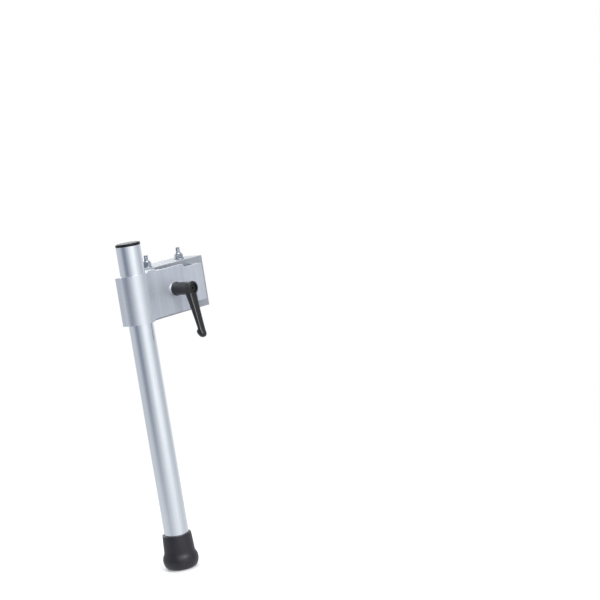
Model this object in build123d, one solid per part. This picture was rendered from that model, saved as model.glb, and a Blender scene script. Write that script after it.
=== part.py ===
from build123d import *
import os
from math import cos, pi, radians, sin, tan

# Clamp-on telescopic leg for the end of a horizontal mounting rail.
# Millimetres, +Z up, +Y from the clamp towards the rail, +X along the rail.
# The origin is the centre of the face that seats on the rail, midway between the two bolts.

# Running and seating gaps
slide_gap = 0.3
thread_gap = 0.05
hole_gap = 0.5
tooth_gap = 0.15

# Leg tube
tube_d = 40.0
tube_wall = 2.5
tube_length = 522.5
tube_above_jaw = 47.4
tube_reach = 116.0

# Plug in the tube's upper end
plug_head = 4.5
plug_edge = 1.4
plug_depth = 24.0
plug_wall = 2.6
plug_ribs = 3
plug_rib_width = 2.0
plug_rib_proud = 0.35

# Rubber foot and the steel disc that keeps the tube from cutting through it
foot_lip_wall = 2.2
foot_neck_wall = 4.4
foot_flare_d = 58.3
foot_sole_d = 45.0
foot_grip = 49.5
foot_neck = 31.0
foot_flare_height = 16.0
foot_base = 8.0
foot_disc = 2.0
tread_groove = 2.4
tread_depth = 1.6
tread_radii = (7.0, 13.0, 19.0)

# Channel that goes round the rail
rail_height = 75.0
web_thickness = 5.0
flange_thickness = 5.0
flange_depth = 50.0
channel_length = 133.0
channel_fillet = 2.0
channel_edge = 0.8
tail_past_axis = 7.0
tail_corner = 8.0

# Bolts through the flanges and the rail
bolt_d = 8.0
bolt_from_end = 28.5
bolt_line = 20.0
bolt_free_end = 9.4
cup_head_d = 20.0
cup_head = 4.4
bolt_neck = 4.0
hex_across = 13.0
hex_edge = 30.0
nut_height = 9.0
nut_hex = 6.5
nut_lip = 0.5
collar_wall = 0.8
insert_wall = 1.0
plain_washer_d = 17.0
plain_washer = 1.6

# Clamp jaw: a saddle round the tube, a thick neck, a plate and a heel
jaw_height = 78.7
jaw_rise = 2.75
jaw_wall = 2.7
saddle_back = 3.0
skirt_gap = 5.0
neck_end = 70.0
plate_thickness = 7.0
plate_start = 52.0
plate_drop = 3.3
step_at = 115.0
tongue_height = 60.5
tongue_corner = 7.0
heel_end = 159.5
heel_width = 12.0
saddle_fillet = 26.0
jaw_edge = 1.5

# Clamping lever
lever_reach = 86.0
lever_swing = -9.0
lever_lift = 5.2
stud_d = 10.0
thrust_washer_d = 20.0
thrust_washer = 3.0
hub_foot_d = 23.0
hub_d = 19.6
hub_foot = 5.0
hub_length = 37.5
hub_dome = 7.0
hub_start_gap = 1.0
arm_length = 75.3
arm_rise = 16.0
arm_root_width = 15.5
arm_root_depth = 13.0
arm_tip_width = 10.0
arm_tip_depth = 9.0
arm_waist = 0.45
arm_corner = 3.0
arm_knob_d = 14.6
serration_count = 24
serration_d = 15.0
serration_depth = 0.9
serration_length = 5.0
serration_start = 9.0
core_collar_d = 16.0
core_neck_d = 11.0
core_spigot_d = 7.6
core_shoulder = 23.0
core_spigot_end = 34.0
stud_in_core = 16.0
screw_d = 5.0
screw_in_core = 10.0
screw_head_d = 11.4
screw_head = 4.5
screw_socket = 4.0
screw_socket_depth = 2.5
spring_wire = 1.2
spring_turns = 4.0
spring_end_gap = 0.2

# Threaded anchor pressed into the channel's web
anchor_d = 16.0
anchor_length = 11.0
anchor_shank_d = 13.0
anchor_flange_d = 18.0
anchor_flange = 1.5

# Places that follow from the sizes above
tube_r = tube_d / 2
bore_r = tube_r + slide_gap
tube_x = -tube_reach
web_front_y = -web_thickness
tube_y = web_front_y - slide_gap - tube_r
tube_top = jaw_rise + jaw_height / 2 + tube_above_jaw
tube_bottom = tube_top - tube_length
rail_half = rail_height / 2
channel_top = rail_half + flange_thickness
bolt_x = channel_length / 2 - bolt_from_end
insert_r = bolt_d / 2 + insert_wall
lever_x = tube_x + lever_reach
core_start = thrust_washer
handle_start = core_start + hub_start_gap
head_start = core_shoulder + lever_lift + 2 * spring_wire * spring_turns
lever_frame = Plane(origin=(lever_x, tube_y, jaw_rise), x_dir=(1, 0, 0), z_dir=(0, -1, 0))
seat_plane = Plane(origin=(lever_x, 0, jaw_rise), x_dir=(1, 0, 0), z_dir=(0, -1, 0))
tube_axis = Pos(tube_x, tube_y, 0)


def near(shape, *point):
    return shape.vertices().sort_by_distance(point)[0]


def disc(radius, low, high):
    return Pos(0, 0, low) * extrude(Circle(radius), high - low)


def ring(outer, inner, low, high):
    return disc(outer, low, high) - disc(inner, low, high)


def spun(*points):
    return revolve(Plane.XZ * make_face(Polyline(*points, close=True)), Axis.Z)


def leg_tube():
    return tube_axis * ring(tube_r, tube_r - tube_wall, tube_bottom, tube_top)


def tube_plug():
    bore = tube_r - tube_wall
    body_r = bore - plug_rib_proud
    head = disc(tube_r, tube_top, tube_top + plug_head)
    head = fillet(head.edges().group_by(Axis.Z)[-1], plug_edge)
    plug = head + ring(body_r, body_r - plug_wall, tube_top - plug_depth, tube_top)
    rib_pitch = plug_depth / (plug_ribs + 1)
    for number in range(1, plug_ribs + 1):
        rib_top = tube_top - number * rib_pitch
        plug += ring(bore, body_r - plug_wall, rib_top - plug_rib_width, rib_top)
    return tube_axis * plug


def foot_disc_plate():
    return tube_axis * disc(tube_r - slide_gap, tube_bottom - foot_disc, tube_bottom)


def rubber_foot():
    seat = tube_bottom - foot_disc
    lip = seat + foot_grip
    sole = seat - foot_base
    neck = lip - foot_neck
    inner = tube_r + thread_gap
    lip_r = tube_r + foot_lip_wall
    neck_r = tube_r + foot_neck_wall
    flare_r = foot_flare_d / 2
    flare = sole + foot_flare_height
    sole_r = foot_sole_d / 2
    lip_round = foot_lip_wall / 3
    outline = Line((0, sole), (sole_r, sole))
    outline += Spline((sole_r, sole), (flare_r, flare), (neck_r, neck),
                      tangents=((1, 0.5), (0, 1), (-0.06, 1)))
    outline += Line((neck_r, neck), (lip_r, lip - lip_round))
    outline += Line((lip_r, lip - lip_round), (lip_r - lip_round, lip))
    outline += Polyline((lip_r - lip_round, lip), (inner, lip), (inner, seat), (0, seat), (0, sole))
    foot = revolve(Plane.XZ * make_face(outline), Axis.Z)
    for radius in tread_radii:
        foot -= ring(radius + tread_groove / 2, radius - tread_groove / 2, sole, sole + tread_depth)
    return tube_axis * foot


def mounting_channel():
    depth = web_thickness + flange_depth
    section = Pos(depth / 2 - web_thickness, 0) * Rectangle(depth, 2 * channel_top)
    section -= Pos(flange_depth, 0) * Rectangle(2 * flange_depth, rail_height)
    inner = [near(section, 0, side * rail_half, 0) for side in (1, -1)]
    section = fillet(inner, channel_fillet)
    outer = [near(section, -web_thickness, side * channel_top, 0) for side in (1, -1)]
    section = fillet(outer, channel_edge)
    channel = Pos(-channel_length / 2, 0, 0) * extrude(Plane.YZ * section, channel_length)
    tail_left = tube_x - tail_past_axis
    tail_right = -channel_length / 2
    tail_face = Pos((tail_left + tail_right) / 2, 0) * Rectangle(tail_right - tail_left, rail_height)
    tail_face = fillet([near(tail_face, tail_left, side * rail_half, 0) for side in (1, -1)], tail_corner)
    channel += extrude(Plane.XZ * tail_face, web_thickness)
    hole_r = bolt_d / 2 + hole_gap
    square = bolt_d + hole_gap
    for side in (-1, 1):
        hole = disc(hole_r, rail_half, channel_top)
        hole += Pos(0, 0, -rail_half - flange_thickness / 2) * Box(square, square, flange_thickness)
        channel -= Pos(side * bolt_x, bolt_line, 0) * hole
    channel -= seat_plane * disc(anchor_shank_d / 2, 0, web_thickness)
    channel -= seat_plane * disc(anchor_flange_d / 2, 0, anchor_flange)
    return channel


def anchor_nut():
    nut = disc(anchor_flange_d / 2, 0, anchor_flange)
    nut += disc(anchor_shank_d / 2, 0, web_thickness)
    nut += disc(anchor_d / 2, web_thickness, web_thickness + anchor_length)
    nut -= disc(stud_d / 2 + thread_gap, 0, web_thickness + anchor_length)
    return seat_plane * nut


def clamp_jaw():
    wrap_r = bore_r + jaw_wall + saddle_back
    heel_face = tube_r + slide_gap
    skirt = heel_face - skirt_gap
    leg = skirt - saddle_back
    profile = Circle(wrap_r) & Pos(0, -wrap_r / 2) * Rectangle(2 * wrap_r, wrap_r)
    profile += Pos((neck_end - wrap_r) / 2, leg / 2) * Rectangle(neck_end + wrap_r, leg)
    profile = Pos(0, saddle_back) * profile
    profile += Pos(heel_end / 2, plate_thickness / 2) * Rectangle(heel_end, plate_thickness)
    heel_r = heel_width / 2
    heel_middle = heel_face - heel_r
    profile += Pos(heel_end - heel_r, heel_middle / 2) * Rectangle(heel_width, heel_middle)
    profile += Pos(heel_end - heel_r, heel_middle) * Circle(heel_r)
    profile -= Circle(bore_r) & Pos(0, -bore_r / 2) * Rectangle(2 * bore_r, bore_r)
    profile -= Pos(0, heel_face / 2) * Rectangle(2 * bore_r, heel_face)
    profile = fillet([near(profile, wrap_r, 0, 0)], saddle_fillet)
    inner = [near(profile, neck_end, plate_thickness, 0),
             near(profile, heel_end - heel_width, plate_thickness, 0)]
    profile = fillet(inner, plate_thickness / 2)
    outer = [near(profile, -wrap_r, skirt, 0),
             near(profile, neck_end, skirt, 0),
             near(profile, heel_end, 0, 0)]
    profile = fillet(outer, jaw_edge)
    jaw = Pos(0, 0, jaw_rise - jaw_height / 2) * extrude(profile, jaw_height)
    drop = Box(step_at - plate_start, 2 * heel_face, 2 * plate_drop)
    jaw -= Pos((plate_start + step_at) / 2, 0, jaw_rise + jaw_height / 2) * drop
    trim_height = (jaw_height - tongue_height) / 2
    trim_middle = (jaw_height + tongue_height) / 4
    step_corner = min(tongue_corner, 0.9 * trim_height)
    for side in (1, -1):
        trim = Pos((step_at + heel_end) / 2, side * trim_middle) * Rectangle(heel_end - step_at, trim_height)
        trim = fillet([near(trim, step_at, side * tongue_height / 2, 0)], step_corner)
        jaw -= Pos(0, 0, jaw_rise) * extrude(Plane.XZ * trim, heel_face + wrap_r, both=True)
    jaw = tube_axis * jaw
    return jaw - lever_frame * disc(stud_d / 2 + hole_gap, -plate_thickness, 0)


def hexagon(low, high):
    flat_r = hex_across / 2
    corner_r = flat_r / cos(pi / 6)
    drop = (corner_r - flat_r) * tan(radians(hex_edge))
    prism = Pos(0, 0, low) * extrude(RegularPolygon(flat_r, 6, major_radius=False), high - low)
    blank = spun((0, low), (flat_r, low), (corner_r, low + drop),
                 (corner_r, high - drop), (flat_r, high), (0, high))
    return prism & blank


def cup_bolt(side):
    head_r = cup_head_d / 2
    dome_r = (head_r ** 2 + cup_head ** 2) / (2 * cup_head)
    crown = -channel_top - cup_head
    end = channel_top + plain_washer + nut_height + bolt_free_end
    head = disc(head_r, crown, -channel_top) & Pos(0, 0, crown + dome_r) * Sphere(dome_r)
    bolt = head + disc(bolt_d / 2, -channel_top, end)
    bolt = chamfer(bolt.edges().group_by(Axis.Z)[-1], bolt_d / 10)
    bolt += Pos(0, 0, bolt_neck / 2 - channel_top) * Box(bolt_d, bolt_d, bolt_neck)
    return Pos(side * bolt_x, bolt_line, 0) * bolt


def lock_nut(side):
    low = channel_top + plain_washer
    high = low + nut_height
    collar = disc(insert_r + collar_wall, low + nut_hex, high)
    collar = fillet(collar.edges().group_by(Axis.Z)[-1], (nut_height - nut_hex) / 2)
    nut = hexagon(low, low + nut_hex) + collar
    nut -= disc(bolt_d / 2, low, low + nut_hex)
    nut -= disc(insert_r, low + nut_hex, high - nut_lip)
    nut -= disc(bolt_d / 2 + hole_gap / 2, high - nut_lip, high)
    return Pos(side * bolt_x, bolt_line, 0) * nut


def nut_insert(side):
    low = channel_top + plain_washer + nut_hex
    high = channel_top + plain_washer + nut_height - nut_lip
    return Pos(side * bolt_x, bolt_line, 0) * ring(insert_r, bolt_d / 2, low, high)


def flange_washer(side):
    washer = ring(plain_washer_d / 2, bolt_d / 2 + hole_gap / 2, channel_top, channel_top + plain_washer)
    return Pos(side * bolt_x, bolt_line, 0) * washer


def lever_washer():
    return lever_frame * ring(thrust_washer_d / 2, stud_d / 2 + hole_gap / 2, 0, thrust_washer)


def clamp_stud():
    tip = tube_y + slide_gap
    return lever_frame * disc(stud_d / 2, tip, core_start + stud_in_core)


def serration(gap, low, high):
    crest = serration_d / 2 + gap
    root = crest - serration_depth
    pitch = 2 * pi / serration_count
    points = []
    for tooth in range(serration_count):
        for radius, share in ((crest, 0), (root, 0.5)):
            angle = (tooth + share) * pitch
            points.append((radius * cos(angle), radius * sin(angle)))
    return Pos(0, 0, low) * extrude(make_face(Polyline(*points, close=True)), high - low)


def lever_core():
    teeth_end = serration_start + serration_length
    root_r = serration_d / 2 - serration_depth
    core = disc(core_collar_d / 2, core_start, core_start + hub_start_gap)
    core += disc(root_r, core_start, teeth_end)
    core += serration(0, serration_start, teeth_end)
    core += disc(core_neck_d / 2, teeth_end, core_shoulder)
    core += disc(core_spigot_d / 2, core_shoulder, core_spigot_end)
    core -= disc(stud_d / 2, core_start, core_start + stud_in_core)
    core -= disc(screw_d / 2, core_spigot_end - screw_in_core, core_spigot_end)
    return lever_frame * core


def lever_screw():
    head_end = head_start + screw_head
    screw = disc(screw_d / 2, core_spigot_end - screw_in_core, head_start)
    screw += disc(core_spigot_d / 2, core_spigot_end, head_start)
    screw += disc(screw_head_d / 2, head_start, head_end)
    socket = RegularPolygon(screw_socket / 2, 6, major_radius=False)
    screw -= Pos(0, 0, head_end - screw_socket_depth) * extrude(socket, screw_socket_depth)
    return lever_frame * screw


def lever_spring():
    low = core_shoulder + spring_end_gap + spring_wire / 2
    high = head_start - spring_end_gap - spring_wire / 2
    mean_r = (screw_head_d - spring_wire) / 2
    pitch = (high - low) / spring_turns
    path = Pos(0, 0, low) * Helix(pitch, high - low, mean_r)
    profile = Plane(origin=path @ 0, z_dir=path % 0) * Circle(spring_wire / 2)
    return lever_frame * sweep(profile, path, is_frenet=True)


def lever_handle():
    hub_r = hub_d / 2
    foot_r = hub_foot_d / 2
    end = hub_length + hub_dome
    hub = spun((0, handle_start), (foot_r, handle_start), (foot_r, handle_start + hub_foot / 2),
               (hub_r, handle_start + hub_foot), (hub_r, end), (0, end))
    hub = fillet(hub.edges().group_by(Axis.Z)[-1], hub_r / 3)
    rise = radians(arm_rise)
    reach = Vector(0, -cos(rise), sin(rise))
    root = Vector(0, 0, hub_length)
    sections = []
    for share, slimmer in ((0, 0), (arm_waist, 2 / 3), (1, 1)):
        width = arm_root_width + slimmer * (arm_tip_width - arm_root_width)
        depth = arm_root_depth + slimmer * (arm_tip_depth - arm_root_depth)
        plane = Plane(origin=root + reach * (share * arm_length), x_dir=(1, 0, 0), z_dir=reach)
        sections.append(plane * RectangleRounded(width, depth, arm_corner))
    handle = hub + loft(sections)
    knob = root + reach * arm_length
    handle += Pos(knob.X, knob.Y, knob.Z) * Sphere(arm_knob_d / 2)
    handle = Rot(0, 0, lever_swing) * handle
    teeth_end = serration_start + serration_length + tooth_gap
    chamber_r = screw_head_d / 2 + slide_gap
    handle -= disc(core_collar_d / 2 + slide_gap, handle_start, serration_start)
    handle -= serration(tooth_gap, serration_start, teeth_end)
    handle -= disc(core_neck_d / 2 + slide_gap, teeth_end, core_shoulder)
    handle -= disc(chamber_r, core_shoulder, end)
    return lever_frame * handle


def parts():
    yield "leg_tube", leg_tube()
    yield "tube_plug", tube_plug()
    yield "rubber_foot", rubber_foot()
    yield "foot_disc", foot_disc_plate()
    yield "mounting_channel", mounting_channel()
    yield "anchor_nut", anchor_nut()
    yield "clamp_jaw", clamp_jaw()
    for side, word in ((-1, "inner"), (1, "outer")):
        yield word + "_bolt", cup_bolt(side)
        yield word + "_nut", lock_nut(side)
        yield word + "_nut_insert", nut_insert(side)
        yield word + "_top_washer", flange_washer(side)
    yield "thrust_washer", lever_washer()
    yield "clamp_stud", clamp_stud()
    yield "lever_core", lever_core()
    yield "lever_screw", lever_screw()
    yield "lever_spring", lever_spring()
    yield "lever_handle", lever_handle()


os.makedirs("parts", exist_ok=True)
for name, solid in parts():
    export_step(solid, os.path.join("parts", name + ".step"))
    print(name, round(solid.volume), "mm3")
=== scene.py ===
from math import cos, floor, pi, radians, sin, tau

import bmesh
import bpy
from mathutils import Matrix, Vector


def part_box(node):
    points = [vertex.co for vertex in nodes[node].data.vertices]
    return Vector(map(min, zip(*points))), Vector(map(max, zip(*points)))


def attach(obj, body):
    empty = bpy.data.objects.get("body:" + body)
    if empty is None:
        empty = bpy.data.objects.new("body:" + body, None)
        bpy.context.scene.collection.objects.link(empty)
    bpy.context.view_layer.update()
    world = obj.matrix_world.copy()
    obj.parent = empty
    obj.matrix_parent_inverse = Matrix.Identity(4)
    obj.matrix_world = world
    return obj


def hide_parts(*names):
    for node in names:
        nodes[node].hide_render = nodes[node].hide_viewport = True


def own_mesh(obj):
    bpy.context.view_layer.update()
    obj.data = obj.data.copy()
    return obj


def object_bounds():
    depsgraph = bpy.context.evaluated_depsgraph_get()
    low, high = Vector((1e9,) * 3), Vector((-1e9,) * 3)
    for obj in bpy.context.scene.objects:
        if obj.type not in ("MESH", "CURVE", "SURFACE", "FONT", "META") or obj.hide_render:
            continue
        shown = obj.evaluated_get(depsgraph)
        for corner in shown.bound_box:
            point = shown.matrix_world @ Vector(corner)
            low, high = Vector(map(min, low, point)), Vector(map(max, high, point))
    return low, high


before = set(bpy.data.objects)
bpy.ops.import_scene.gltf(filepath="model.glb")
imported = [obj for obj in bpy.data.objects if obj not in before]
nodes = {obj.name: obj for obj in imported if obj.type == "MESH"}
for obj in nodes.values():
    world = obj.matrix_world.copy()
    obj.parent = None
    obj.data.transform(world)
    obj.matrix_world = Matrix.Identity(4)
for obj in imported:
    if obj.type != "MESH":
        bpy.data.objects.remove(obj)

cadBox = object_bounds()
mm = 0.001
legAxis = (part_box("leg_tube")[0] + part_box("leg_tube")[1]) / 2
print("frame loaded with", len(nodes), "solids")


def linear(hexCode):
    values = [int(hexCode[i:i + 2], 16) / 255 for i in (1, 3, 5)]
    return [v / 12.92 if v <= 0.04045 else ((v + 0.055) / 1.055) ** 2.4 for v in values] + [1.0]


# settings with a capital or a number are sockets, the rest are the node's own switches
def addNode(tree, kind, settings=None, links=None):
    node = tree.nodes.new("ShaderNode" + kind)
    for name, value in (settings or {}).items():
        if name == "stops":
            elements = node.color_ramp.elements
            while len(elements) < len(value):
                elements.new(1.0)
            for element, (place, colour) in zip(elements, value):
                element.position, element.color = place, colour
        elif isinstance(name, int) or name[0].isupper():
            node.inputs[name].default_value = value
        else:
            setattr(node, name, value)
    for name, socket in (links or {}).items():
        tree.links.new(socket, node.inputs[name])
    return node


def startMaterial(name, settings):
    material = bpy.data.materials.new(name)
    material.use_nodes = True
    shader = material.node_tree.nodes["Principled BSDF"]
    for socket, value in settings.items():
        shader.inputs[socket].default_value = value
    return material, material.node_tree, shader


def plugIn(tree, shader, colour, rough, relief):
    tree.links.new(colour, shader.inputs["Base Color"])
    tree.links.new(rough, shader.inputs["Roughness"])
    tree.links.new(relief, shader.inputs["Normal"])


# stretch in millimetres along X, Y and Z, so that a noise of scale 1 has patches of that size
def perMm(*sizes):
    return [1 / (size * mm) for size in sizes]


# Aluminium, drawn or pushed through a die: long faint lines one way, broad soft bands where the die drags,
# a grey sheen between mirror and satin, and dull saw arcs on the cut ends.
# The jaw is rubbed bright on its saddle's near side. Between dullFrom and dullTo past the leg's axis that
# turns into a dull grey oxide, which covers the rest of the saddle and the plate.
# Sizes are in millimetres. Real die lines are about 0.3 apart and are drawn coarser here, so that they show.
drawnTube = {"name": "aluminiumDrawnSatin", "light": "#EDF0F4", "dark": "#DFE3E9", "metal": 1.0,
             "line": 1.6, "band": 9, "along": "Z", "length": 260, "cloud": 34,
             "rough": (0.18, 0.26), "bump": 0.05}
jawExtrusion = {"name": "aluminiumExtrudedJaw", "light": "#EBEEF2", "dark": "#D8DBE2", "metal": 1.0,
                "line": 2.2, "band": 11, "along": "Z", "length": 300, "cloud": 26,
                "rough": (0.23, 0.31), "bump": 0.06,
                "dullFrom": 0, "dullTo": 9, "dullRough": 0.50, "dullMetal": 0.62, "dullTone": "#D6D8DC"}
channelExtrusion = {"name": "aluminiumExtrudedChannel", "light": "#B0B3B8", "dark": "#9EA1A8", "metal": 0.70,
                    "line": 1.8, "band": 7, "along": "X", "length": 260, "cloud": 22,
                    "rough": (0.42, 0.52), "bump": 0.07}
dieGrain = {"lineDetail": 4.0, "bandDetail": 1.0, "streakBreak": 0.6, "cloudDetail": 3.0, "cloudBreak": 0.55,
            "bandShare": 0.8, "cloudShare": 0.4, "tones": (0.75, 1.45)}
# real saw marks are 0.4 mm apart, drawn coarser; Blender's wave rings repeat every 0.314 at scale 1
sawMark = {"spacing": 2.4, "repeat": 0.314, "radius": 150, "waver": 0.6, "detail": 2.0,
           "facing": (0.90, 0.97), "share": 0.45, "rough": 0.62, "lift": 0.02}


def streakedAluminium(look):
    material, tree, shader = startMaterial(look["name"], {"Metallic": look["metal"]})
    place = addNode(tree, "TexCoord")
    spot = {"Vector": place.outputs["Object"]}
    streaks = []
    for across, detail in ((look["line"], dieGrain["lineDetail"]), (look["band"], dieGrain["bandDetail"])):
        sizes = perMm(*[look["length"] if axis == look["along"] else across for axis in "XYZ"])
        spread = addNode(tree, "Mapping", {"Scale": sizes}, spot)
        streak = {"Scale": 1.0, "Detail": detail, "Roughness": dieGrain["streakBreak"]}
        streaks.append(addNode(tree, "TexNoise", streak, {"Vector": spread.outputs["Vector"]}))
    lines, bands = streaks
    patches = {"Scale": 1 / (look["cloud"] * mm), "Detail": dieGrain["cloudDetail"],
               "Roughness": dieGrain["cloudBreak"]}
    cloud = addNode(tree, "TexNoise", patches, spot)

    # a cut end is where the face looks along the extrusion
    facing = addNode(tree, "SeparateXYZ", None, {"Vector": place.outputs["Normal"]})
    end = addNode(tree, "Math", {"operation": "ABSOLUTE"}, {0: facing.outputs[look["along"]]})
    tilted, square = sawMark["facing"]
    cut = addNode(tree, "MapRange", {"From Min": tilted, "From Max": square, "To Max": sawMark["share"]},
                  {"Value": end.outputs["Value"]})
    shift = addNode(tree, "Mapping", {"Location": (sawMark["radius"] * mm,) * 3}, spot)
    arcs = addNode(tree, "TexWave", {"wave_type": "RINGS", "rings_direction": look["along"],
                                     "Scale": sawMark["repeat"] / (sawMark["spacing"] * mm),
                                     "Distortion": sawMark["waver"], "Detail": sawMark["detail"]},
                   {"Vector": shift.outputs["Vector"]})
    grain = addNode(tree, "Mix", {"data_type": "FLOAT"},
                    {0: cut.outputs["Result"], 2: lines.outputs["Fac"], 3: arcs.outputs["Fac"]})

    dragged = addNode(tree, "Math", {"operation": "MULTIPLY_ADD", 1: dieGrain["bandShare"]},
                      {0: bands.outputs["Fac"], 2: grain.outputs[0]})
    tone = addNode(tree, "Math", {"operation": "MULTIPLY_ADD", 1: dieGrain["cloudShare"]},
                   {0: cloud.outputs["Fac"], 2: dragged.outputs["Value"]})
    darkest, lightest = dieGrain["tones"]
    share = addNode(tree, "MapRange", {"From Min": darkest, "From Max": lightest},
                    {"Value": tone.outputs["Value"]})
    colour = addNode(tree, "Mix", {"data_type": "RGBA", 6: linear(look["dark"]), 7: linear(look["light"])},
                     {0: share.outputs["Result"]})
    low, high = look["rough"]
    polish = addNode(tree, "MapRange", {"From Min": darkest, "From Max": lightest,
                                        "To Min": high, "To Max": low}, {"Value": tone.outputs["Value"]})
    rough = addNode(tree, "Mix", {"data_type": "FLOAT", 3: sawMark["rough"]},
                    {0: cut.outputs["Result"], 2: polish.outputs["Result"]})
    if "dullFrom" in look:
        reach = addNode(tree, "SeparateXYZ", None, spot)
        dull = addNode(tree, "MapRange", {"From Min": legAxis.x + look["dullFrom"] * mm,
                                          "From Max": legAxis.x + look["dullTo"] * mm},
                       {"Value": reach.outputs["X"]})
        rough = addNode(tree, "Mix", {"data_type": "FLOAT", 3: look["dullRough"]},
                        {0: dull.outputs["Result"], 2: rough.outputs[0]})
        oxide = addNode(tree, "MapRange", {"To Min": look["metal"], "To Max": look["dullMetal"]},
                        {"Value": dull.outputs["Result"]})
        colour = addNode(tree, "Mix", {"data_type": "RGBA", "blend_type": "MULTIPLY",
                                       7: linear(look["dullTone"])},
                         {0: dull.outputs["Result"], 6: colour.outputs[2]})
        tree.links.new(oxide.outputs["Result"], shader.inputs["Metallic"])
    relief = addNode(tree, "Bump", {"Strength": look["bump"], "Distance": sawMark["lift"] * mm},
                     {"Height": grain.outputs[0]})
    plugIn(tree, shader, colour.outputs[2], rough.outputs[0], relief.outputs["Normal"])
    return material


# Steel. Bright zinc plate over turned and formed pieces: a cold mirror, faint blue and straw patches.
# Thrust washer: plated, then tumbled, so it is paler and satin. Spring wire: drawn, bare and grey.
zincPlate = {"name": "steelZincPlated", "cold": "#A9AFBC", "warm": "#C8CACF", "patch": 7,
             "rough": (0.07, 0.15), "bump": 0.10}
washerPlate = {"name": "steelZincTumbled", "cold": "#E2E5EA", "warm": "#F3F3F1", "patch": 4,
               "rough": (0.26, 0.36), "bump": 0.08}
springWire = {"name": "steelSpringDrawn", "cold": "#6E7178", "warm": "#8C8B88", "patch": 3,
              "rough": (0.28, 0.40), "bump": 0.10}
# real plating grain is under 0.1 mm, drawn coarser
plateGrain = {"fine": 0.9, "fineDetail": 2.0, "fineTones": (0.3, 0.7), "patchDetail": 3.0,
              "patchTones": (0.35, 0.65), "lift": 0.03}


def platedSteel(look):
    material, tree, shader = startMaterial(look["name"], {"Metallic": 1.0})
    spot = {"Vector": addNode(tree, "TexCoord").outputs["Object"]}
    patch = addNode(tree, "TexNoise", {"Scale": 1 / (look["patch"] * mm),
                                       "Detail": plateGrain["patchDetail"]}, spot)
    fine = addNode(tree, "TexNoise", {"Scale": 1 / (plateGrain["fine"] * mm),
                                      "Detail": plateGrain["fineDetail"]}, spot)
    coldest, warmest = plateGrain["patchTones"]
    share = addNode(tree, "MapRange", {"From Min": coldest, "From Max": warmest},
                    {"Value": patch.outputs["Fac"]})
    colour = addNode(tree, "Mix", {"data_type": "RGBA", 6: linear(look["cold"]), 7: linear(look["warm"])},
                     {0: share.outputs["Result"]})
    smoothest, coarsest = plateGrain["fineTones"]
    low, high = look["rough"]
    rough = addNode(tree, "MapRange", {"From Min": smoothest, "From Max": coarsest,
                                       "To Min": low, "To Max": high}, {"Value": fine.outputs["Fac"]})
    relief = addNode(tree, "Bump", {"Strength": look["bump"], "Distance": plateGrain["lift"] * mm},
                     {"Height": fine.outputs["Fac"]})
    plugIn(tree, shader, colour.outputs[2], rough.outputs["Result"], relief.outputs["Normal"])
    return material


# Powder coat on cast zinc: satin black with a fine orange peel. Moulded polyethylene: smoother, with faint
# flow clouds. Blackened steel: thin oily black. Rubber: purple-black, matt, with faint dusty patches.
# Nylon: milky white.
powderCoat = {"name": "zincCastPowderCoated", "dark": "#050506", "light": "#0D0C0D", "peel": 1.1, "cloud": 12,
              "rough": (0.27, 0.35), "bump": 0.12, "ior": 1.6, "metal": 0.0, "shine": 0.46}
plugPlastic = {"name": "polyethyleneMoulded", "dark": "#0C0C0E", "light": "#151518", "peel": 0.8, "cloud": 14,
               "rough": (0.30, 0.42), "bump": 0.10, "ior": 1.51, "metal": 0.0, "shine": 0.25}
blackSteel = {"name": "steelBlackened", "dark": "#1B1D1E", "light": "#2E3132", "peel": 0.7, "cloud": 5,
              "rough": (0.26, 0.36), "bump": 0.08, "ior": 1.5, "metal": 0.5, "shine": 0.5}
footRubber = {"name": "rubberMouldedMatt", "dark": "#131118", "light": "#221E27", "peel": 1.6, "cloud": 18,
              "rough": (0.36, 0.48), "bump": 0.20, "ior": 1.52, "metal": 0.0, "shine": 0.49}
nylonRing = {"name": "nylonMoulded", "dark": "#D5D8DA", "light": "#E8EAEB", "peel": 0.6, "cloud": 4,
             "rough": (0.36, 0.46), "bump": 0.06, "ior": 1.53, "metal": 0.0, "shine": 0.5}
skinGrain = {"peelDetail": 2.0, "peelShare": 0.35, "cloudDetail": 4.0, "cloudBreak": 0.6,
             "tones": (0.42, 0.92), "lift": 0.08}


def mouldedFinish(look):
    fixed = {"Metallic": look["metal"], "IOR": look["ior"], "Specular IOR Level": look["shine"]}
    material, tree, shader = startMaterial(look["name"], fixed)
    spot = {"Vector": addNode(tree, "TexCoord").outputs["Object"]}
    peel = addNode(tree, "TexNoise", {"Scale": 1 / (look["peel"] * mm),
                                      "Detail": skinGrain["peelDetail"]}, spot)
    cloud = addNode(tree, "TexNoise", {"Scale": 1 / (look["cloud"] * mm), "Detail": skinGrain["cloudDetail"],
                                       "Roughness": skinGrain["cloudBreak"]}, spot)
    tone = addNode(tree, "Math", {"operation": "MULTIPLY_ADD", 1: skinGrain["peelShare"]},
                   {0: peel.outputs["Fac"], 2: cloud.outputs["Fac"]})
    darkest, lightest = skinGrain["tones"]
    share = addNode(tree, "MapRange", {"From Min": darkest, "From Max": lightest},
                    {"Value": tone.outputs["Value"]})
    colour = addNode(tree, "Mix", {"data_type": "RGBA", 6: linear(look["dark"]), 7: linear(look["light"])},
                     {0: share.outputs["Result"]})
    low, high = look["rough"]
    rough = addNode(tree, "MapRange", {"From Min": darkest, "From Max": lightest,
                                       "To Min": low, "To Max": high}, {"Value": tone.outputs["Value"]})
    relief = addNode(tree, "Bump", {"Strength": look["bump"], "Distance": skinGrain["lift"] * mm},
                     {"Height": peel.outputs["Fac"]})
    plugIn(tree, shader, colour.outputs[2], rough.outputs["Result"], relief.outputs["Normal"])
    return material


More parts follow.
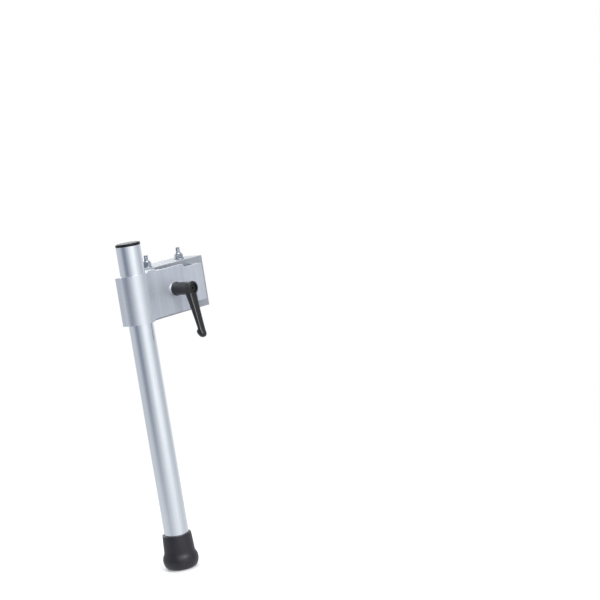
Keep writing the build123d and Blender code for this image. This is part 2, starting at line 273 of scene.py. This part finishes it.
tubeFinish = streakedAluminium(drawnTube)
jawFinish = streakedAluminium(jawExtrusion)
channelFinish = streakedAluminium(channelExtrusion)
zincFinish = platedSteel(zincPlate)
washerFinish = platedSteel(washerPlate)
wireFinish = platedSteel(springWire)
leverFinish = mouldedFinish(powderCoat)
plugFinish = mouldedFinish(plugPlastic)
screwFinish = mouldedFinish(blackSteel)
rubberFinish = mouldedFinish(footRubber)
nylonFinish = mouldedFinish(nylonRing)

# whatever isn't named here is zinc plated
finishOf = {"leg_tube": tubeFinish, "clamp_jaw": jawFinish, "mounting_channel": channelFinish,
            "tube_plug": plugFinish, "rubber_foot": rubberFinish, "lever_handle": leverFinish,
            "lever_screw": screwFinish, "lever_spring": wireFinish, "thrust_washer": washerFinish,
            "inner_nut_insert": nylonFinish, "outer_nut_insert": nylonFinish}
for name, solid in nodes.items():
    solid.data.materials.clear()
    solid.data.materials.append(finishOf.get(name, zincFinish))
print("finishes set on", len(nodes), "solids")


# rings of equal count, skinned one to the next and closed at both ends
def skinRings(name, rings, finish):
    mesh = bmesh.new()
    rows = [[mesh.verts.new(point) for point in ring] for ring in rings]
    count = len(rows[0])
    for low, high in zip(rows, rows[1:]):
        for i in range(count):
            mesh.faces.new((low[i], low[(i + 1) % count], high[(i + 1) % count], high[i]))
    mesh.faces.new(rows[0][::-1])
    mesh.faces.new(rows[-1])
    data = bpy.data.meshes.new(name)
    mesh.to_mesh(data)
    mesh.free()
    data.materials.append(finish)
    piece = bpy.data.objects.new(name, data)
    bpy.context.scene.collection.objects.link(piece)
    return piece


# turns a piece's modifiers into its mesh
def settle(piece):
    shaped = piece.evaluated_get(bpy.context.evaluated_depsgraph_get())
    rough = piece.data
    piece.data = bpy.data.meshes.new_from_object(shaped)
    piece.modifiers.clear()
    bpy.data.meshes.remove(rough)


def seat(piece, body, node, crease):
    piece.data.shade_smooth()
    piece.data.set_sharp_from_angle(angle=radians(crease))
    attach(piece, body)
    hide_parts(node)


def circleRing(radius, height, count):
    return [(radius * cos(tau * i / count), radius * sin(tau * i / count), height) for i in range(count)]


def squareRing(across, height, count):
    reach = [across / 2 / cos((tau * i / count + pi / 4) % (pi / 2) - pi / 4) for i in range(count)]
    return [(r * cos(tau * i / count), r * sin(tau * i / count), height) for i, r in enumerate(reach)]


# smooth line through the given radius and height pairs
def smoothLine(points, steps):
    guides = [Vector(point) for point in (points[0], *points, points[-1])]
    line = []
    for before, start, end, after in zip(guides, guides[1:], guides[2:], guides[3:]):
        for step in range(steps):
            t = step / steps
            pull = (end - before) * t + (2 * before - 5 * start + 4 * end - after) * t ** 2
            line.append(start + (pull + (3 * start - before - 3 * end + after) * t ** 3) / 2)
    return line + [guides[-1]]


# 60 degree thread in shares of its pitch: depth, flat crest and flat root; rows of points for each turn
threadForm = {"depth": 0.613, "crest": 0.125, "root": 0.25, "rows": 10}


def threadRings(radius, pitch, low, high, lead, chamfer, count):
    depth, crest = threadForm["depth"] * pitch, threadForm["crest"]
    flank = 1 - crest - threadForm["root"]
    rows = round((high - low) / pitch * threadForm["rows"])
    rings = []
    for row in range(rows + 1):
        height = low + (high - low) * row / rows
        fade = max(0.0, min(1.0, (height - low) / lead)) if lead else 1.0
        limit = radius - max(0.0, height - (high - chamfer))
        ring = []
        for i in range(count):
            turn = height / pitch - i / count
            fall = abs(turn - floor(turn) - 0.5) * 2
            cutIn = max(0.0, min(1.0, (fall - crest) / flank)) * depth * fade
            r = min(radius - cutIn, limit)
            ring.append((r * cos(tau * i / count), r * sin(tau * i / count), height))
        rings.append(ring)
    return rings


# cup-head bolt from its dome up: square neck, plain shank, thread that runs in over runOut
railBolt = {"diameter": 8, "pitch": 1.25, "headHeight": 4.4, "headAcross": 20, "domeRows": 6,
            "neck": 4, "neckStep": 0.02, "threadLength": 34, "threadStep": 0.05, "runOut": 2.5,
            "chamfer": 0.9, "segments": 48, "crease": 38}


def buildBolt(word):
    lowest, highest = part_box(word + "_bolt")
    low, end = lowest.z / mm, highest.z / mm
    count, r, rise = railBolt["segments"], railBolt["diameter"] / 2, railBolt["headHeight"]
    under, headRadius = low + rise, railBolt["headAcross"] / 2
    dome = (headRadius ** 2 + rise ** 2) / (2 * rise)
    rings = []
    for row in range(1, railBolt["domeRows"] + 1):
        across = headRadius * row / railBolt["domeRows"]
        rings.append(circleRing(across, low + dome - (dome ** 2 - across ** 2) ** 0.5, count))
    neckTop, start = under + railBolt["neck"], end - railBolt["threadLength"]
    rings += [squareRing(railBolt["diameter"], under, count),
              squareRing(railBolt["diameter"], neckTop, count),
              circleRing(r, neckTop + railBolt["neckStep"], count),
              circleRing(r, start - railBolt["threadStep"], count)]
    rings += threadRings(r, railBolt["pitch"], start, end, railBolt["runOut"], railBolt["chamfer"], count)
    bolt = skinRings(word + "ThreadedBolt", rings, zincFinish)
    middle = (lowest + highest) / 2
    bolt.data.transform(Matrix.Translation((middle.x, middle.y, 0)) @ Matrix.Scale(mm, 4))
    seat(bolt, "bracket", word + "_bolt", railBolt["crease"])


for word in ("inner", "outer"):
    buildBolt(word)

clampStud = {"diameter": 10, "pitch": 1.5, "chamfer": 1.0, "segments": 48, "crease": 38}
studLow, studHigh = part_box("clamp_stud")
studMiddle = (studLow + studHigh) / 2
studRings = threadRings(clampStud["diameter"] / 2, clampStud["pitch"], 0, (studHigh.y - studLow.y) / mm, 0,
                        clampStud["chamfer"], clampStud["segments"])
stud = skinRings("threadedClampStud", studRings, zincFinish)
# the stud's chamfered end points to +Y, into the channel
standing = Matrix(((1, 0, 0, studMiddle.x), (0, 0, 1, studLow.y), (0, -1, 0, studMiddle.z), (0, 0, 0, 1)))
stud.data.transform(standing @ Matrix.Scale(mm, 4))
seat(stud, "screw", "clamp_stud", clampStud["crease"])
print("threads cut on two bolts and the stud")

# lift spring with closed ends; the real one is squeezed when the handle is pulled out, this one keeps its
# length
liftSpring = {"wire": 1.2, "turns": 5.0, "closed": 0.9, "steps": 40, "sides": 10,
              "squeezed": 0.65, "crease": 38}
lowest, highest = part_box("lever_spring")
middle = (lowest + highest) / 2
springRadius = (highest.x - lowest.x) / 2 / mm - liftSpring["wire"] / 2
springLow = highest.y / mm - liftSpring["wire"] / 2
springHigh = lowest.y / mm + liftSpring["wire"] / 2


def springPoint(turn):
    closed, wire, turns = liftSpring["closed"], liftSpring["wire"], liftSpring["turns"]
    rise, length = closed * wire, springLow - springHigh
    if turn < closed:
        along = turn * wire
    elif turn > turns - closed:
        along = length - (turns - turn) * wire
    else:
        along = rise + (turn - closed) / (turns - 2 * closed) * (length - 2 * rise)
    return Vector((springRadius * cos(tau * turn), springLow - along, springRadius * sin(tau * turn)))


springRings = []
sides = liftSpring["sides"]
for step in range(int(liftSpring["turns"] * liftSpring["steps"]) + 1):
    turn = step / liftSpring["steps"]
    outward = Vector((cos(tau * turn), 0, sin(tau * turn)))
    ring = []
    for side in range(sides):
        bent = outward * cos(tau * side / sides) + Vector((0, 1, 0)) * sin(tau * side / sides)
        ring.append(springPoint(turn) + bent * (liftSpring["wire"] / 2))
    springRings.append(ring)
spring = skinRings("liftSpringWire", springRings, wireFinish)
spring.data.transform(Matrix.Translation((middle.x, 0, middle.z)) @ Matrix.Scale(mm, 4))
seat(spring, "screw", "lever_spring", liftSpring["crease"])
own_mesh(spring)
print("spring wound")

# Cast handle: a turned hub, a knuckle round the screw, and a tapered arm of squarish section with round
# edges, ending in a blunt bulb that swells towards the plate. Heights run out along the lever's axis from the
# plate. hub has radius and height pairs, bore the heights where collar, teeth, neck and chamber end.
castHandle = {"start": 4.0, "swing": -9, "rise": 18.6, "root": 35.2, "length": 76.4,
              "hub": ((11.0, 4.0), (11.4, 4.4), (11.4, 8.2), (11.0, 8.6), (10.6, 8.9), (10.4, 9.8),
                      (10.4, 14.0), (10.5, 24.0), (10.7, 29.0), (11.1, 33.0), (11.4, 36.5), (11.4, 42.6),
                      (11.1, 43.8), (10.4, 44.4), (9.6, 44.5)),
              "rootWidth": 19.2, "tipWidth": 12.4, "slim": 1.6, "flat": (0.76, 0.58), "crisp": 3.5,
              "bulbFrom": 0.892, "bulbWidest": 0.955, "bulbEnd": 1.104, "bulbWidth": 14.4, "bulbDepth": 12.6,
              "bulbCrisp": 2.6, "bulbDrop": 2.2, "bulbBlunt": 2.4,
              "rows": 60, "crowding": 1.6, "tipGap": 0.0005, "segments": 96,
              "voxel": 0.40, "soften": 0.5, "smooth": 5, "crease": 40,
              "collarBore": 8.3, "teeth": 24, "toothCrest": 7.65, "toothRoot": 6.75, "neckBore": 5.8,
              "chamber": 6.0, "mouth": 7.5, "mouthFlare": 0.3, "clear": 3.0,
              "bore": (9.0, 14.15, 23.0, 42.4)}


# section of the arm at a share of its length
def armRing(share):
    tip, slimming = castHandle["tipWidth"], max(0.0, 1 - share) ** castHandle["slim"]
    width = tip + (castHandle["rootWidth"] - tip) * slimming
    thick, thin = castHandle["flat"]
    depth, crisp = width * (thick + (thin - thick) * min(1.0, share)), castHandle["crisp"]
    start, widest, end = castHandle["bulbFrom"], castHandle["bulbWidest"], castHandle["bulbEnd"]
    swell, past = 0.0, 0.0
    if share > start:
        swell = min(1.0, (share - start) / (widest - start))
        swell = swell * swell * (3 - 2 * swell)
        width += (castHandle["bulbWidth"] - width) * swell
        depth += (castHandle["bulbDepth"] - depth) * swell
        crisp += (castHandle["bulbCrisp"] - crisp) * swell
    if share > widest:
        past, blunt = (share - widest) / (end - widest), castHandle["bulbBlunt"]
        close = (1 - past ** blunt) ** (1 / blunt)
        width, depth = width * close, depth * close
    rise, swing = radians(castHandle["rise"]), Matrix.Rotation(radians(castHandle["swing"]), 3, "Z")
    along, away = Vector((0, -cos(rise), sin(rise))), Vector((0, sin(rise), cos(rise)))
    centre = Vector((0, 0, castHandle["root"])) + along * (share * castHandle["length"])
    centre -= away * (castHandle["bulbDrop"] * (swell - past))
    ring = []
    for i in range(castHandle["segments"]):
        c, s = cos(tau * i / castHandle["segments"]), sin(tau * i / castHandle["segments"])
        x = width / 2 * abs(c) ** (2 / crisp) * (1 if c > 0 else -1)
        y = depth / 2 * abs(s) ** (2 / crisp) * (1 if s > 0 else -1)
        ring.append(swing @ (centre + Vector((x, y * sin(rise), y * cos(rise)))))
    return ring


def toothRing(height):
    count, perTooth = castHandle["segments"], castHandle["segments"] // castHandle["teeth"]
    ring = []
    for i in range(count):
        share = abs(i % perTooth / perTooth - 0.5) * 2
        r = castHandle["toothRoot"] + (castHandle["toothCrest"] - castHandle["toothRoot"]) * share
        ring.append((r * cos(tau * i / count), r * sin(tau * i / count), height))
    return ring


count = castHandle["segments"]
hubRings = [circleRing(r, height, count) for r, height in castHandle["hub"]]
armEnd, armRows = castHandle["bulbEnd"] - castHandle["tipGap"], castHandle["rows"]
armRings = []
for row in range(armRows + 1):
    share = 1 - (1 - row / armRows) ** castHandle["crowding"]   # rows crowd towards the tip
    armRings.append(armRing(armEnd * share))
handle = skinRings("castLeverHandle", hubRings, leverFinish)
arm = skinRings("leverArm", armRings, leverFinish)

collarEnd, teethEnd, neckEnd, chamberEnd = castHandle["bore"]
collarBore, neckBore = castHandle["collarBore"], castHandle["neckBore"]
chamber, mouth, clear = castHandle["chamber"], castHandle["mouth"], castHandle["clear"]
hubTop = castHandle["hub"][-1][1]
boreRings = [circleRing(collarBore, castHandle["start"] - clear, count),
             circleRing(collarBore, collarEnd, count), toothRing(collarEnd), toothRing(teethEnd),
             circleRing(neckBore, teethEnd, count), circleRing(neckBore, neckEnd, count),
             circleRing(chamber, neckEnd, count), circleRing(chamber, chamberEnd, count),
             circleRing(mouth, chamberEnd, count),
             circleRing(mouth + castHandle["mouthFlare"], hubTop + clear, count)]
bore = skinRings("leverBore", boreRings, leverFinish)

joined = bmesh.new()
joined.from_mesh(handle.data)
joined.from_mesh(arm.data)
bmesh.ops.recalc_face_normals(joined, faces=joined.faces)
joined.to_mesh(handle.data)
joined.free()
skin = handle.modifiers.new("skin", "REMESH")
skin.mode, skin.voxel_size = "VOXEL", castHandle["voxel"]
soften = handle.modifiers.new("soften", "SMOOTH")
soften.factor, soften.iterations = castHandle["soften"], castHandle["smooth"]
hollow = handle.modifiers.new("hollow", "BOOLEAN")
hollow.operation, hollow.solver, hollow.object = "DIFFERENCE", "EXACT", bore
settle(handle)
for spare in (arm, bore):
    bpy.data.meshes.remove(spare.data)

screwLow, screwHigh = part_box("lever_screw")
axis = (screwLow + screwHigh) / 2
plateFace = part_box("lever_handle")[1].y + castHandle["start"] * mm
# the lever's axis points to -Y, away from the plate
leverFrame = Matrix(((1, 0, 0, axis.x), (0, 0, -1, plateFace), (0, 1, 0, axis.z), (0, 0, 0, 1)))
handle.data.transform(leverFrame @ Matrix.Scale(mm, 4))
seat(handle, "lever", "lever_handle", castHandle["crease"])
print("lever handle cast,", len(handle.data.polygons), "faces")

# Moulded foot, as radius and height above the sole: ring grooves below, a round bulge, a shoulder, and a long
# neck to the lip.
mouldedFoot = {"grooves": (7.0, 13.0, 19.0), "grooveWidth": 2.4, "grooveDepth": 1.6,
               "outside": ((20.4, 0.0), (23.2, 1.2), (25.8, 3.7), (27.8, 7.5), (28.8, 11.6), (29.05, 15.6),
                           (28.65, 19.1), (27.5, 22.3), (26.1, 25.2), (25.2, 28.5), (24.95, 33.0),
                           (24.55, 41.0), (24.15, 49.0), (23.65, 56.5)),
               "lip": ((23.5, 57.1), (23.0, 57.42), (22.4, 57.5), (20.9, 57.5), (20.4, 57.3), (20.05, 56.8)),
               "socket": (20.05, 8.0), "segments": 144, "steps": 5, "crease": 40}
footLow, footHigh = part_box("rubber_foot")
footMiddle = (footLow + footHigh) / 2
footLine = []
for radius in mouldedFoot["grooves"]:
    half, depth = mouldedFoot["grooveWidth"] / 2, mouldedFoot["grooveDepth"]
    footLine += [(radius - half, 0.0), (radius - half, depth), (radius + half, depth), (radius + half, 0.0)]
footLine += smoothLine(mouldedFoot["outside"], mouldedFoot["steps"])
footLine += [*mouldedFoot["lip"], mouldedFoot["socket"]]
footRings = [circleRing(r, height, mouldedFoot["segments"]) for r, height in footLine]
foot = skinRings("mouldedRubberFoot", footRings, rubberFinish)
foot.data.transform(Matrix.Translation((footMiddle.x, footMiddle.y, footLow.z)) @ Matrix.Scale(mm, 4))
seat(foot, "leg", "rubber_foot", mouldedFoot["crease"])
print("foot moulded")

# plain matt paper floor in metres: cover is how solid it is near the foot, and it melts into the white
# surround towards its rim
studioFloor = {"radius": 1.2, "fadeFrom": 0.25, "fadeTo": 0.95, "cover": 0.7, "colour": "#FBFBFA",
               "rough": 0.85, "segments": 64}
floorMesh = bmesh.new()
bmesh.ops.create_circle(floorMesh, cap_ends=True, radius=studioFloor["radius"],
                        segments=studioFloor["segments"])
floorData = bpy.data.meshes.new("studioFloor")
floorMesh.to_mesh(floorData)
floorMesh.free()
studioGround = bpy.data.objects.new("studioFloor", floorData)
bpy.context.scene.collection.objects.link(studioGround)
studioGround.location = (footMiddle.x, footMiddle.y, footLow.z)
studioGround.visible_glossy = False
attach(studioGround, "leg")   # the ground stays under the foot when the leg slides
paperLook = {"Base Color": linear(studioFloor["colour"]), "Roughness": studioFloor["rough"]}
paper, tree, shader = startMaterial("paperMattFloor", paperLook)
place = addNode(tree, "TexCoord")
reach = addNode(tree, "VectorMath", {"operation": "LENGTH"}, {0: place.outputs["Object"]})
fade = addNode(tree, "MapRange", {"interpolation_type": "SMOOTHSTEP",
                                  "From Min": studioFloor["fadeFrom"], "From Max": studioFloor["fadeTo"],
                                  "To Min": studioFloor["cover"], "To Max": 0.0},
               {"Value": reach.outputs["Value"]})
tree.links.new(fade.outputs["Result"], shader.inputs["Alpha"])
floorData.materials.append(paper)

# the camera's own directions and its place in metres; lens and sensor in millimetres
photoView = {"right": (0.63467, -0.75729, -0.15397), "up": (0.19819, -0.03308, 0.97961),
             "back": (-0.74694, -0.65224, 0.12909), "place": (-1.9783, -1.9929, 0.3118),
             "lens": 101.95, "sensor": 36.0}
cameraData = bpy.data.cameras.new("photoCamera")
cameraData.lens, cameraData.sensor_width = photoView["lens"], photoView["sensor"]
camera = bpy.data.objects.new("photoCamera", cameraData)
bpy.context.scene.collection.objects.link(camera)
turned = Matrix((photoView["right"], photoView["up"], photoView["back"])).transposed().to_4x4()
camera.matrix_world = Matrix.Translation(photoView["place"]) @ turned
bpy.context.scene.camera = camera

# Studio round the leg. walls has bearings in degrees from the camera, positive to its right, and the
# brightness there. Dim walls take the cold shade, walls at bright and above take the tint. heights says where
# the walls give way to the top and to the ground, as the upward part of the direction.
# The camera itself sees plain white behind the part.
studioWalls = {"bearing": 138.87, "strength": 1.0, "top": 0.62, "ground": 0.84, "bright": 0.72,
               "walls": ((-180, 1.25), (-158, 0.86), (-130, 0.66), (-98, 0.66), (-78, 0.62), (-60, 0.36),
                         (-43, 0.20), (-29, 0.34), (-13, 0.54), (4, 0.78), (20, 1.06), (34, 1.22),
                         (48, 1.16), (62, 0.90), (78, 0.72), (98, 0.60), (116, 0.58), (138, 0.80),
                         (158, 0.88), (180, 1.25)),
               "heights": {"top": (0.35, 0.85), "ground": (-0.19, -0.26)},
               "tint": (0.94, 0.97, 1.0), "shade": (0.70, 0.88, 1.26), "seen": "#FFFFFF"}
world = bpy.data.worlds.new("studioWalls")
bpy.context.scene.world = world
world.use_nodes = True
tree = world.node_tree
place = addNode(tree, "TexCoord")
turn = addNode(tree, "Mapping", {"Rotation": (0, 0, radians(studioWalls["bearing"]))},
               {"Vector": place.outputs["Generated"]})
around = addNode(tree, "TexGradient", {"gradient_type": "RADIAL"}, {"Vector": turn.outputs["Vector"]})
stops = []
for bearing, value in studioWalls["walls"]:
    bright = min(1.0, value / studioWalls["bright"])
    hue = Vector(studioWalls["shade"]).lerp(Vector(studioWalls["tint"]), bright)
    stops.append((bearing / 360 + 0.5, [*(hue * value), 1.0]))
walls = addNode(tree, "ValToRGB", {"stops": stops}, {"Fac": around.outputs["Fac"]})
height = addNode(tree, "SeparateXYZ", None, {"Vector": place.outputs["Generated"]})
room = walls.outputs["Color"]
for zone, (begin, full) in studioWalls["heights"].items():
    share = addNode(tree, "MapRange", {"interpolation_type": "SMOOTHSTEP",
                                       "From Min": begin, "From Max": full}, {"Value": height.outputs["Z"]})
    tone = [studioWalls[zone] * tint for tint in studioWalls["tint"]] + [1.0]
    mixed = addNode(tree, "Mix", {"data_type": "RGBA", 7: tone}, {0: share.outputs["Result"], 6: room})
    room = mixed.outputs[2]
soft = addNode(tree, "Background", {"Strength": studioWalls["strength"]}, {"Color": room})
plain = addNode(tree, "Background", {"Color": linear(studioWalls["seen"]), "Strength": 1.0})
ray = addNode(tree, "LightPath")
either = addNode(tree, "MixShader", None, {0: ray.outputs["Is Camera Ray"], 1: soft.outputs["Background"],
                                           2: plain.outputs["Background"]})
tree.links.new(either.outputs["Shader"], tree.nodes["World Output"].inputs["Surface"])

# square soft boxes aimed at the part; metres and watts
softBoxes = {"overhead": {"place": (-0.2, -0.5, 2.2), "size": 2.4, "power": 44},
             "front": {"place": (-0.40, -1.74, 0.94), "size": 0.7, "power": 14},
             "aboveCamera": {"place": (-1.6, -1.75, 0.80), "size": 0.5, "power": 5},
             "behind": {"place": (0.8, 1.8, 0.9), "size": 1.2, "power": 16}}
aim = (cadBox[0] + cadBox[1]) / 2
for name, box in softBoxes.items():
    lamp = bpy.data.lights.new(name + "SoftBox", "AREA")
    lamp.shape, lamp.size, lamp.energy = "SQUARE", box["size"], box["power"]
    light = bpy.data.objects.new(name + "SoftBox", lamp)
    light.location = box["place"]
    light.rotation_euler = (aim - Vector(box["place"])).to_track_quat("-Z", "Y").to_euler()
    light.visible_camera = False
    bpy.context.scene.collection.objects.link(light)
bpy.context.scene.view_settings.view_transform = "Standard"
print("floor, light and camera set")
